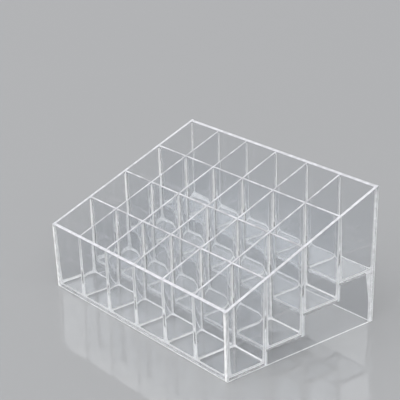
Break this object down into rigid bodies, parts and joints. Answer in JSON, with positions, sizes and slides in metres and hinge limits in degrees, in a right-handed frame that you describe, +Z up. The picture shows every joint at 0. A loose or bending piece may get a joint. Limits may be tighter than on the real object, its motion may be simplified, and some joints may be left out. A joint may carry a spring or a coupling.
{
  "type": "lipstick holder",
  "caption": "Clear stepped tabletop holder: a wedge-shaped case of clear sheet with a half-lapped lattice of square cells that stand in rising rows for lipsticks.",
  "frame": {"origin": "on the table, under the middle of the holder's width and depth", "axes": "+X to the right along the width, +Y from the low front to the high back, +Z up"},
  "size_m": [0.1458, 0.0972, 0.0728],
  "materials": {
    "outer_sheet": "clear cast sheet, polished faces and edges",
    "divider_sheet": "clear thin sheet, polished faces, cut edges slightly milky",
    "floor_sheet": "clear sheet, polished faces with faint scuffs"
  },
  "bodies": {
    "root": {"left_wall": "outer_sheet", "right_wall": "outer_sheet", "front_wall": "outer_sheet", "back_wall": "outer_sheet", "floor_strip_1": "floor_sheet", "floor_strip_2": "floor_sheet", "floor_strip_3": "floor_sheet", "floor_strip_4": "floor_sheet", "riser_divider_1": "divider_sheet", "riser_divider_2": "divider_sheet", "riser_divider_3": "divider_sheet", "depth_divider_1": "divider_sheet", "depth_divider_2": "divider_sheet", "depth_divider_3": "divider_sheet", "depth_divider_4": "divider_sheet", "depth_divider_5": "divider_sheet"}
  },
  "joints": []
}
